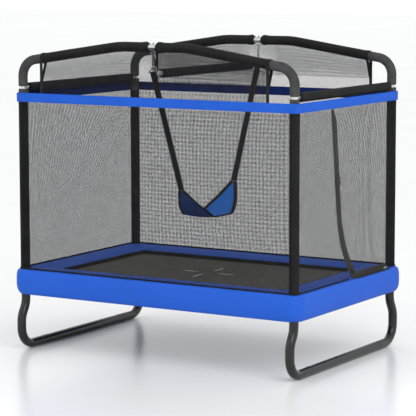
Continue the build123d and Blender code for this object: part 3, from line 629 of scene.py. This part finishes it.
def crown_line(x0, x1, step=0.006):
    """The arch's centre line between two places right of the middle."""
    points = [(x0, 0, crown_z), (crown_half, 0, crown_z), (x1, 0, arch_z(x1))]
    return spaced(bent(points, [crown_radius]), step)


def sleeve_radius(d, a, length, seed):
    """Cloth round foam, pulled together in ridges near its two ends."""
    fold = 0.0005 * softness((math.cos(a), math.sin(a), d * 3), 0.4, seed)
    gather = 0.0
    for near, first in ((d, 0.018), (length - d, 0.006)):
        for k in range(3):
            ridge = math.exp(-(((near - first - 0.011 * k) / 0.0042) ** 2))
            gather += (0.0040 - 0.0012 * k) * ridge * (1 + 0.3 * math.sin(9 * a + 4 * k + seed))
    pull = 0.0030 * math.exp(-((length - d) / 0.003) ** 2) + 0.0075 * math.exp(-((d / 0.0045) ** 2))
    return 0.0268 + fold + gather - pull


def half_arch(sx, sy):
    """The way from the right half of the arch plane to one of the four half arches."""
    return Matrix.Translation((0, sy * post_y, 0)) @ Matrix.Diagonal((sx, 1, 1, 1))


def on_arches(shape):
    """A shape made on the right half of the arch plane, on all four half arches."""
    return [moved(shape, half_arch(sx, sy)) for sx, sy in corners]


elbow_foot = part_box("elbow_foams")[0].z
net_end = sleeve_end - 0.006
elbow_points = [(post_x, 0, elbow_foot), (post_x, 0, shoulder_z), (net_end, 0, arch_z(net_end))]
elbow_line = spaced(bent(elbow_points, [elbow_radius], 0.004), 0.004)
elbow_long = length(elbow_line)
elbow = skin(elbow_line, lambda d, a: rounded_end(d, elbow_long, foam_radius), 40)
elbow = piece("elbow_foam_tubes", together(on_arches(elbow)), grey_foam, "frame")
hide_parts("elbow_foams")
crown = skin(crown_line(foam_gap, sleeve_end - 0.007, 0.02), lambda d, a: foam_radius - 0.0006, 24)
crown = piece("crown_foam_tubes", together(on_arches(crown)), grey_foam, "frame")
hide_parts("crown_foams")

sleeve_line = crown_line(sleeve_gap - 0.003, sleeve_end + 0.002, 0.0025)
sleeve_long = length(sleeve_line)
for side, sy in (("front", -1), ("back", 1)):
    halves = []
    for sx in (-1, 1):
        one = skin(sleeve_line, lambda d, a: sleeve_radius(d, a, sleeve_long, sx + 3 * sy), 44)
        halves.append(moved(one, half_arch(sx, sy)))
    halves = together(halves)
    sleeve = piece(f"gathered_sleeves_{side}", halves, black_cloth, "frame", 70)
    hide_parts(f"arch_sleeves_{side}")

# ---- lower nets ----
# Black knitted polyester mesh, one panel a side, sewn to the corner pockets, to the band above
# and to a hem tape that runs round on the cover.


def mesh_cloth(name, axes, cover, pitch=0.0030):
    """Netting: crossing threads with open holes between them. axes is 1 along the net's own two
    directions, cover the share of each that thread fills."""
    made, tree, shader = material(name, 0.8, shine=0.1)
    place = drift(tree, shader, (0.010, 0.010, 0.011), (0.016, 0.016, 0.017), 0.1)
    axes = Vector(axes)
    uneven = node(tree, "ShaderNodeTexNoise", {"Vector": place, "Scale": 130.0, "Detail": 2.0})
    quarter = (Vector((1, 1, 1)) - axes) * (math.pi / 2)
    wander = node(tree, "ShaderNodeTexNoise", {"Vector": place, "Scale": 190.0, "Detail": 1.0})
    wander = maths(tree, "MULTIPLY", wander.outputs["Color"], axes * 0.0022)
    knit = maths(tree, "ADD", place, wander)
    wide = maths(tree, "MULTIPLY", knit, axes * (math.pi / pitch))
    high = maths(tree, "ABSOLUTE", maths(tree, "SINE", maths(tree, "ADD", wide, quarter)))
    part = node(tree, "ShaderNodeSeparateXYZ", {0: high})
    low = maths(tree, "MINIMUM", part.outputs[0], part.outputs[1], "ShaderNodeMath")
    low = maths(tree, "MINIMUM", low, part.outputs[2], "ShaderNodeMath")
    edge = math.sin(cover * math.pi / 2)
    span = {"Value": uneven.outputs["Fac"], "From Min": 0.3, "From Max": 0.7}
    vary = node(tree, "ShaderNodeMapRange", {**span, "To Min": -0.06, "To Max": 0.06})
    away = maths(tree, "SUBTRACT", low, vary.outputs[0], "ShaderNodeMath")
    span = {"Value": away, "From Min": edge - 0.07, "From Max": edge + 0.07}
    span |= {"To Min": 1.0, "To Max": 0.0}
    thread = node(tree, "ShaderNodeMapRange", span)
    tree.links.new(thread.outputs["Result"], shader.inputs["Alpha"])
    return made


net_across_y = mesh_cloth("black netting, long sides", (1, 0, 1), 0.285)
net_across_x = mesh_cloth("black netting, short sides", (0, 1, 1), 0.285)
net_low, net_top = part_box("net_front")[0].z, 1.4000
net_mid = 0.02575
net_wrap = 0.0274


def eased(share):
    """A share held between 0 and 1, with a soft start and end."""
    share = max(0.0, min(1.0, share))
    return share * share * (3 - 2 * share)


def net_out(u, half):
    """How far a net stands outside the post line at u along a side: further at the pockets."""
    return net_mid + (net_wrap - net_mid) * eased((abs(u) - half + 0.06) / 0.05)


def slack_out(u, z, half):
    """The same for a whole panel, which gives way inwards between its sewn edges."""
    free = min(1.0, (half - abs(u)) / 0.15, (z - net_low) / 0.12, (net_top - z) / 0.12)
    wave = 0.5 + 0.5 * noise.noise(Vector((u * 2.1, z * 1.3, half)))
    return net_out(u, half) - 0.004 * max(0.0, free) * wave


levels = [net_low + (net_top - net_low) * i / 40 for i in range(41)]
for name, sy in (("front", -1), ("back", 1)):
    runs = [-post_x + 2 * post_x * i / 80 for i in range(81)]
    rows = [[(u, sy * (post_y + slack_out(u, z, post_x)), z) for u in runs] for z in levels]
    net = piece(f"long_net_{name}", grid(rows), net_across_y, "frame")
    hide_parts(f"net_{name}")
runs = [-post_y + 2 * post_y * i / 60 for i in range(61)]
rows = [[(-post_x - slack_out(u, z, post_y), u, z) for u in runs] for z in levels]
net = piece("short_net_left", grid(rows), net_across_x, "frame")
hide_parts("net_left")

# ---- door ----
# A flap of the same mesh in the right net. A long zipper runs down beside it and along the
# cover, sewn on with dark grey tapes. The flap rides on its own body and meets the net along
# the slanting line that is left.
zip_points = [(0, -0.186, 1.3955), (0, -0.092, 0.640), (0, 0.075, 0.466), (0, 0.470, 0.466)]
zip_radii = (0.600, 0.060)
zip_line = spaced(bent(zip_points, zip_radii, 0.004), 0.004)
fold_top, fold_end = Vector(zip_points[0]), Vector(zip_points[-1])
fold_run = (fold_end - fold_top).normalized()
net_x = post_x + net_mid


def beside(line, shift, x):
    """The zipper's line moved to its left by shift, at a distance x from the middle."""
    made = []
    for i, p in enumerate(line):
        run = run_at(line, i, False)
        made.append(Vector((x, p.y - run.z * shift, p.z + run.y * shift)))
    return made


door_edge = beside(zip_line, 0.001, net_x)
door_rows = []
for p in door_edge:
    foot = fold_top + fold_run * (Vector((0, p.y, p.z)) - fold_top).dot(fold_run)
    inward = Vector((0, p.y - foot.y, p.z - foot.z))
    start = foot + inward.normalized() * min(0.001, inward.length) if inward.length > 1e-6 else foot
    door_rows.append([Vector((net_x, start.y, start.z)).lerp(p, i / 24) for i in range(25)])
door = piece("door_flap", grid(door_rows[1:-1]), net_across_x, "door")
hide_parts("door_net")
door_area = 0.0
for a, b in zip(zip_line, zip_line[1:]):
    door_area += (a.z - fold_top.z) * (b.y - fold_top.y) - (b.z - fold_top.z) * (a.y - fold_top.y)
door_area = abs(door_area) / 2

left_rows, right_rows = [], []
lowest = zip_points[2][2]
upright = [p for p in zip_line if p.z > lowest + 0.0005]
upright.append(next(p for p in zip_line if p.z <= lowest + 0.0005))
for p in upright:
    fold_y = fold_top.y + (fold_end.y - fold_top.y) * (fold_top.z - p.z) / (fold_top.z - fold_end.z)
    z = min(p.z, fold_top.z)
    left, right = [], []
    for i in range(31):
        u = -post_y + (p.y + post_y) * i / 30
        left.append((post_x + net_out(u, post_y), u, z))
        u = fold_y + (post_y - fold_y) * i / 30
        right.append((post_x + net_out(u, post_y), u, z))
    left_rows.append(left)
    right_rows.append(right)
top_rows = [[(post_x + net_out(u, post_y), u, z) for u in runs] for z in (fold_top.z, net_top)]
low_rows = [[(post_x + net_out(u, post_y), u, z) for u in runs] for z in (net_low, lowest)]
right_net = together([grid(rows) for rows in (left_rows, right_rows, top_rows, low_rows)])
net = piece("short_net_right", right_net, net_across_x, "frame")
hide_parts("net_right")

tape_cloth = cloth(
    "dark grey zipper tape", (0.034, 0.034, 0.033), (0.046, 0.046, 0.045), 0.0015, 0.0003
)
tape_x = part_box("zipper_tape_door")[0].x
tape_wide, tape_short = 0.0265, 0.012
door_tape_line = [
    p for p in zip_line if min((p - fold_top).length, (p - fold_end).length) > tape_short
]
fold_z, shoulder_x, shoulder_low, shoulder_bend = 0.4612, 0.897, 0.439, 0.0222


def tape_place(y, z):
    """A place on a tape and its outward direction. What is too long turns out over the cover."""
    over = fold_z - z
    if over <= 0:
        return Vector((tape_x, y, z)), Vector((1, 0, 0))
    level = shoulder_x - tape_x
    if over <= level:
        return Vector((tape_x + over, y, fold_z)), Vector((0.3, 0, 1)).normalized()
    a = (over - level) / shoulder_bend
    out = Vector((math.sin(a), 0, math.cos(a)))
    return Vector((shoulder_x, y, shoulder_low)) + out * shoulder_bend, out


def past_fold(p, run):
    """How far a place on the zipper's line may move left before it meets the fold line."""
    across = Vector((0, -fold_run.z, fold_run.y))
    depth = (p - fold_top).dot(across)
    left = Vector((0, -run.z, run.y)).dot(across)
    return (abs(depth) - 0.003) / max(0.05, abs(left))


def tape_strip(line, near, far, cut=False):
    """A tape between two lines beside the zipper, cut along the fold line if it is the flap's."""
    rows = []
    for i, p in enumerate(line):
        run = run_at(line, i, False)
        wide = min(far, past_fold(p, run)) if cut else far
        shifts = [near + (wide - near) * k / 10 for k in range(11)]
        row = [tape_place(p.y - run.z * shift, p.z + run.y * shift) for shift in shifts]
        front = [place + out * 0.0002 for place, out in row]
        rows.append(front + [place - out * 0.0006 for place, out in row[::-1]])
    return capped(rows)


tape_net = tape_strip(zip_line, -0.0006, -tape_wide)
tape_net = piece("zipper_tape_on_net", tape_net, tape_cloth, "frame")
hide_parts("zipper_tape_net")
tape_door = tape_strip(door_tape_line, 0.0006, tape_wide, True)
tape_door = piece("zipper_tape_on_door", tape_door, tape_cloth, "door")
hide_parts("zipper_tape_door")

tooth_pitch = 0.0032


def tooth(d, a):
    """A nylon coil's turns: thick and thin in turn."""
    return 0.00105 + 0.00035 * math.sin(2 * math.pi * d / tooth_pitch)


zip_sides = (("net", -1, "frame", zip_line), ("door", 1, "door", door_tape_line))
for name, side, body, line in zip_sides:
    teeth = beside(spaced(line, tooth_pitch / 4), side * 0.0013, tape_x + 0.0010)
    piece(f"zipper_coil_{name}", skin(teeth, tooth, 6), moulded, body)
for name, side, body, line in zip_sides:
    if name == "net":
        keep = [p for p in line if p.z > 0.50]
    else:
        keep = [p for i, p in enumerate(line) if past_fold(p, run_at(line, i, False)) > 0.026]
    row = stitches(beside(keep, side * 0.022, tape_x + 0.0006), (1, 0, 0), 0.005)
    piece(f"zipper_stitches_{name}", row, grey_thread, body)
slider_grey = coat("grey cast slider", (0.3, 0.3, 0.29), (0.42, 0.42, 0.41), 0.35, 0.6, patch=0.01)
clip_black = coat("black acetal clip", (0.004, 0.004, 0.004), (0.007, 0.007, 0.007), 0.5, shine=0.3)
dress(clip_black, "zipper_clip", "zipper_slider_upper")
dress(slider_grey, "zipper_slider_lower")

# ---- net hem and top band ----
# The nets end below in a narrow black tape on the cover. Above they are sewn to a wide band,
# blue outside and navy inside, with a row of stitches along each edge.
hem_wide = 0.009
hem_ring = outline(post_x + 0.0279, post_y + 0.0279, 0.022)
hem_line = [Vector((p.x, p.y, net_low + hem_wide / 2)) for p in hem_ring]
zip_side = [i for i, p in enumerate(hem_line) if p.x > post_x + 0.02 and 0.02 < p.y < 0.50]
start = zip_side[-1] + 1
hem_line = hem_line[start:] + hem_line[:zip_side[0]]
hem = ribbon(hem_line, (0, 0, 1), hem_wide, 0.0010)
piece("net_hem_tape", hem, webbing, "frame")

band_low, band_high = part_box("top_band")[0].z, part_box("top_band")[1].z
band_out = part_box("top_band")[1].x - post_x - 0.0009
band_blue = cloth(
    "blue band webbing", (0.014, 0.104, 0.58), (0.018, 0.118, 0.64), 0.0020, 0.0003, 0.7, 0.15
)
band_navy = cloth("navy band lining", (0.005, 0.016, 0.10), (0.007, 0.021, 0.12), 0.0020, 0.0003)
band_line = outline(post_x + band_out, post_y + band_out, 0.008, 6, 70)
rows = []
for p in band_line:
    away = [math.copysign(abs(t) ** 12, t) for t in (p.x / post_x, p.y / post_y)]
    away = Vector((*away, 0)).normalized()
    row = []
    for face, order in ((0.0009, range(11)), (-0.0009, range(10, -1, -1))):
        for k in order:
            z = band_low + (band_high - band_low) * k / 10
            crown = 0.0007 * math.sin(math.pi * k / 10)
            wave = 0.0006 * softness((p.x, p.y, z), 0.12, 9)
            row.append(Vector((p.x, p.y, z)) + away * (face + crown + wave))
    rows.append(row)
band = piece("top_band_webbing", grid(rows, True, True), band_blue, "frame", 60)
band.data.materials.append(band_navy)
for face in band.data.polygons:
    outward = Vector((face.center.x, face.center.y, 0)).normalized()
    face.material_index = 1 if face.normal.dot(outward) < -0.2 else 0
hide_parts("top_band")


def off_band(p):
    """Straight out from the nearest side of the band."""
    return p.x * abs(p.x) ** 9, p.y * (abs(p.y) * post_x / post_y) ** 9, 0


seams = []
seam_out = band_out + 0.0012
for z in (band_low + 0.005, band_high - 0.005):
    ring = outline(post_x + seam_out, post_y + seam_out, 0.008)
    seams.append(stitches([(p.x, p.y, z) for p in ring], off_band, 0.007, True))
blue_thread = cloth("blue thread", (0.014, 0.075, 0.42), (0.018, 0.085, 0.48), 0.0012, 0.0002)
piece("band_stitches", together(seams), blue_thread, "frame")

# ---- upper nets ----
# Under each arch the mesh goes up in two layers, one on each side of the sleeve, and they meet
# over the band. In the middle both go up outside, clear of the chains, and black tapes bind the
# two ends, where they part like a V.
upper_across_y = mesh_cloth("black netting, upper", (1, 0, 1), 0.235)
merge_z, chain_room = 1.510, 0.080
sleeve_side = 0.0274


def inner_offset(x, z):
    """Where the inner layer stands off the arch's plane. In the middle it lies on the outer one."""
    share = max(0.0, (z - merge_z) / (arch_z(x) - merge_z))
    near = eased((0.150 - abs(x)) / (0.150 - chain_room))
    return (net_mid - (net_mid + sleeve_side) * share) * (1 - near) + (net_mid - 0.0012) * near


def upper_rows(foot, offset, columns, rows=14):
    """Rows of a layer from foot up to the arch."""
    made = []
    for i in range(rows + 1):
        row = []
        for k in range(columns + 1):
            x = -sleeve_end + 2 * sleeve_end * k / columns
            z = foot + (arch_z(x) - foot) * i / rows
            row.append(Vector((x, offset(x, z), z)))
        made.append(row)
    return made


def outer_offset(x, z):
    """Where the outer layer stands off the arch's plane, with a little sag."""
    share = max(0.0, min(1.0, (z - merge_z) / (arch_z(x) - merge_z)))
    sag = 0.003 * math.sin(math.pi * share) * (0.5 + 0.5 * noise.noise(Vector((x * 4, z * 3, 7))))
    return net_mid + (sleeve_side - net_mid) * share - sag


upper_low = band_high - 0.002
for name, sy in (("front", -1), ("back", 1)):
    place = Matrix.Translation((0, sy * post_y, 0)) @ Matrix.Diagonal((1, sy, 1, 1))
    outer = moved(grid(upper_rows(upper_low, outer_offset, 72)), place)
    outer = piece(f"upper_net_{name}_outer", outer, upper_across_y, "frame")
    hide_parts(f"upper_net_{name}")
    inner = moved(grid(upper_rows(merge_z, inner_offset, 96)), place)
    inner = piece(f"upper_net_{name}_inner", inner, upper_across_y, "frame")
    tapes = []
    for end in (-net_end, net_end):
        levels = np.linspace(band_high - 0.001, arch_z(end), 24)
        tapes.append([(end, outer_offset(end, z) + 0.0008, z) for z in levels])
        levels = np.linspace(merge_z - 0.012, arch_z(end), 18)
        tapes.append([(end, inner_offset(end, z) - 0.0008, z) for z in levels])
    tapes = moved(together([ribbon(line, (1, 0, 0), 0.018, 0.0014) for line in tapes]), place)
    piece(f"upper_net_tapes_{name}", tapes, webbing, "frame")

# ---- chains ----
# An eye bolt goes down through each crown tube. A shackle, three links of welded chain and a
# second shackle hang from it, all plated steel. The shackles, chains and strap rings are painted
# darker in small patches, as painted dark reflections.
# The colour drifts in small patches between dark and bright steel: painted dark reflections among
# brighter metal.
chain_steel_painted_reflections = coat(
    "plated chain steel, painted dark reflections", (0.16, 0.16, 0.165), (0.62, 0.62, 0.61), 0.22, 1.0, patch=0.009
)
dress(bright, "eye_bolts")
dress(chain_steel_painted_reflections, "shackles", "shackle_pins", "chains", "strap_rings")

# ---- gym bar ----
# A round steel bar between the two lower shackles, flat plates at its ends and thick black
# foam in the middle.
dress(zinc, "gym_bar")
gym_low, gym_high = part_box("gym_bar_foam")
roll = foam_roll(gym_high.y, (gym_low.z + gym_high.z) / 2, 0.025, 8)
roll = piece("gym_bar_roll", roll, black_foam, "hanger")
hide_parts("gym_bar_foam")

# ---- swing straps ----
# Black webbing on each side, folded round a ring's bar, sewn down with a boxed cross, and sewn
# into the seat's tip below.
strap_wide, strap_thick = 0.038, 0.003
ring_bar_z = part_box("strap_rings")[0].z + 0.0025
tip_y, tip_z = 0.281, 0.917
for name, sy in (("front", -1), ("back", 1)):
    bar, tip = Vector((0, sy * post_y, ring_bar_z)), Vector((0, sy * tip_y, tip_z))
    run = (tip - bar).normalized()
    inward = Vector((1, 0, 0)).cross(run) * sy
    inward = inward if inward.y * sy < 0 else -inward
    loop_radius = 0.0025 + 0.0003 + 0.0014
    loop = []
    for i in range(15):
        a = math.radians(-80 + 340 * i / 14)
        loop.append(bar + (inward * math.cos(a) - run * math.sin(a)) * loop_radius)
    main = [bar + run * t for t in np.linspace(0.0055, (tip - bar).length - 0.003, 60)]
    fold = [bar + inward * 0.0032 + run * t for t in np.linspace(0.008, 0.075, 8)]
    parts = [ribbon(main, (1, 0, 0), strap_wide, strap_thick * 0.9)]
    parts.append(ribbon(fold, (1, 0, 0), strap_wide - 0.001, 0.0024))
    parts.append(ribbon(loop, (1, 0, 0), strap_wide - 0.001, 0.0024))
    strap = piece(f"webbing_strap_{name}", together(parts), webbing, "swing")
    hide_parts(f"swing_strap_{name}")
    cross = []
    face = inward * 0.0045
    a, b = bar + run * 0.030 + face, bar + run * 0.068 + face
    wide = Vector((strap_wide / 2 - 0.005, 0, 0))
    box = [(a - wide, b - wide), (a + wide, b + wide), (a - wide, a + wide), (b - wide, b + wide)]
    box += [(a - wide, b + wide), (a + wide, b - wide)]
    for p, q in box:
        cross.append(stitches([p, q], inward, 0.0045))
    for side in (-1, 1):
        shift = Vector((side * (strap_wide / 2 - 0.004), 0, 0))
        for step in (1, -1):
            out = inward * 0.00135 * step
            low_line = [bar + run * t + shift + out for t in (0.085, (tip - bar).length - 0.01)]
            cross.append(stitches(low_line, inward * step, 0.006))
    piece(f"strap_stitches_{name}", together(cross), grey_thread, "swing")

# ---- seat ----
# A sling of coated cloth, cut as a long hexagon. Its outer face is painted navy as painted shade
# and its inner face a brighter blue as its lit side. Black webbing binds its long edges and runs
# on into the straps at both tips.
seat_half, seat_flat, seat_tip_half = 0.107, 0.089, 0.020
seat_z, seat_bend = 0.757, 0.070
# One blue cloth in two copies: a navy copy as painted shade on the outer face, and a brighter blue
# copy as the lit inner face.
seat_shaded_navy = cloth(
    "seat cloth, navy painted shade", (0.020, 0.085, 0.300), (0.025, 0.098, 0.340), 0.0016, 0.0002, 0.6, 0.15
)
seat_lit_blue = cloth(
    "seat cloth, lit blue side", (0.022, 0.200, 0.72), (0.027, 0.220, 0.78), 0.0016, 0.0002, 0.6, 0.15
)
right_half = [(0, 0.098, seat_z), (0, 0.205, 0.834), (0, tip_y, tip_z)]
seat_points = [(0, -y, z) for _, y, z in right_half[::-1]] + right_half
seat_line = spaced(bent(seat_points, [0.200, seat_bend, seat_bend, 0.200], 0.006), 0.007)


def seat_width(y):
    """Half the seat's width at a place along it. It is cut full between its flat and its tips."""
    share = max(0.0, min(1.0, (abs(y) - seat_flat) / (tip_y - seat_flat)))
    return seat_half + (seat_tip_half - seat_half) * share**1.6


seat_rows = []
across = 16
for i, p in enumerate(seat_line):
    run = run_at(seat_line, i, False)
    up = Vector((1, 0, 0)).cross(run)
    half = seat_width(p.y) - 0.002
    row = []
    for lift, order in ((0.0028, range(across + 1)), (0.0004, range(across, -1, -1))):
        for k in order:
            share = 2 * k / across - 1
            belly = 0.007 * (1 - share * share) * min(1.0, half / 0.08)
            crease = 0.0010 * softness((share * half, p.y, 0), 0.035, 2) * (1 - share * share)
            row.append(p + Vector((share * half, 0, 0)) + up * (lift - belly + crease))
    seat_rows.append(row)
seat = piece("seat_sling_cloth", capped(seat_rows), seat_shaded_navy, "swing", 60)
seat.data.materials.append(seat_lit_blue)
sitter = Vector((0, 0, 1.05))
# Faces turned towards the sitter take the lit blue; all others take the navy painted shade.
for face in seat.data.polygons:
    face.material_index = 1 if face.normal.dot(sitter - face.center) > 0 else 0
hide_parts("seat")

binding_wide = 0.022
bindings, seat_seams = [], []
for side in (-1, 1):
    line = []
    for i, p in enumerate(seat_line):
        up = Vector((1, 0, 0)).cross(run_at(seat_line, i, False))
        line.append(p + Vector((side * (seat_width(p.y) - binding_wide / 2), 0, 0)) + up * 0.0014)
    bindings.append(ribbon(line, (1, 0, 0), binding_wide, 0.0052))
    for step in (1, -1):
        runs = [run_at(seat_line, i, False) for i in range(len(line))]
        ups = [Vector((1, 0, 0)).cross(run) * step for run in runs]
        row = [p + up * 0.0026 - Vector((side * 0.007, 0, 0)) for p, up in zip(line, ups)]
        seat_seams.append(stitches(row, lambda p, step=step: (sitter - p) * step, 0.006))
binding = piece("seat_binding", together(bindings), webbing, "swing")
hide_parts("seat_edge_tapes")
piece("seat_stitches", together(seat_seams), grey_thread, "swing")
